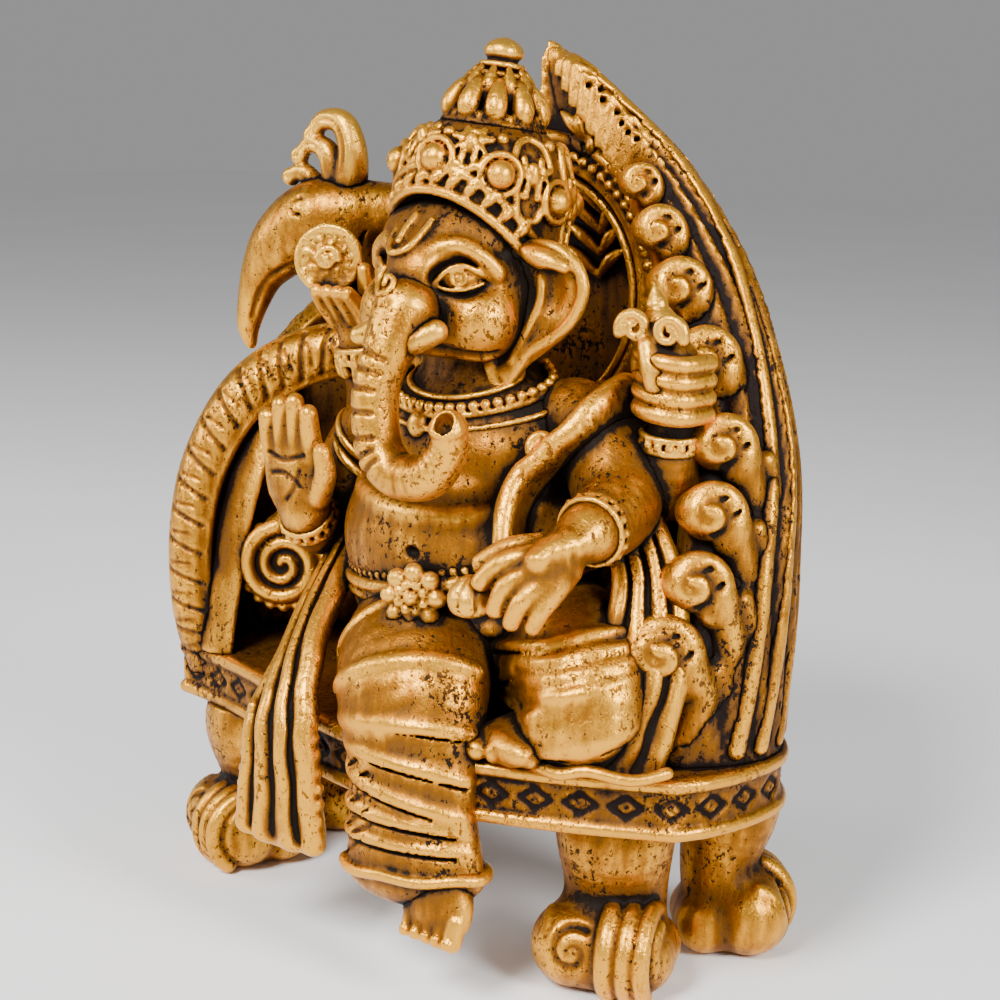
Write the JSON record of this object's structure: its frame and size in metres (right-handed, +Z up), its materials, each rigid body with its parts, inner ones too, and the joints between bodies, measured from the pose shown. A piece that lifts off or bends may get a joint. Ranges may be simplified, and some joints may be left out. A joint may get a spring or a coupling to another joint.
{
  "type": "ganesha idol",
  "caption": "Seated four-armed elephant-headed idol on a bird-shaped wrap-around throne with scroll feet, in antique gold cast resin.",
  "frame": {"origin": "centre of the object's footprint box, on the surface that it stands on", "axes": "+Z up, the figure faces -Y, +X is the figure's left-hand side"},
  "size_m": [0.1619, 0.0938, 0.2],
  "materials": {
    "antique_gold": "antique gold paint over a black-brown base, rubbed back on the high spots, on cold-cast resin",
    "bright_gold": "brighter rubbed gold paint on ornaments, on cold-cast resin",
    "dark_gold": "gold paint worn thin over dark umber on the throne, on cold-cast resin"
  },
  "bodies": {
    "root": {"plinth": "dark_gold", "front_right_leg": "antique_gold", "front_left_leg": "antique_gold", "rear_right_leg": "antique_gold", "rear_left_leg": "antique_gold", "throne_back": "dark_gold", "halo_ring": "antique_gold", "right_arm_wing": "dark_gold", "left_arm_wing": "dark_gold", "wing_curls": "antique_gold", "wing_feathers": "antique_gold", "arm_arch": "antique_gold", "arm_scroll": "antique_gold", "bird_head": "antique_gold", "bird_crest": "bright_gold", "torso": "antique_gold", "head": "antique_gold", "trunk": "antique_gold", "left_ear": "antique_gold", "right_ear": "antique_gold", "tusks": "bright_gold", "crown": "antique_gold", "crown_tier": "antique_gold", "crown_finial": "bright_gold", "front_left_arm": "antique_gold", "front_right_arm": "antique_gold", "rear_left_arm": "antique_gold", "rear_right_arm": "antique_gold", "sweet": "bright_gold", "conch": "bright_gold", "lotus": "bright_gold", "bracelets": "bright_gold", "right_leg": "antique_gold", "right_foot": "antique_gold", "left_leg": "antique_gold", "left_foot": "antique_gold", "belt": "bright_gold", "necklace": "bright_gold", "shoulder_shawl": "antique_gold", "seat_drape": "antique_gold", "hip_drape": "antique_gold"}
  },
  "joints": []
}
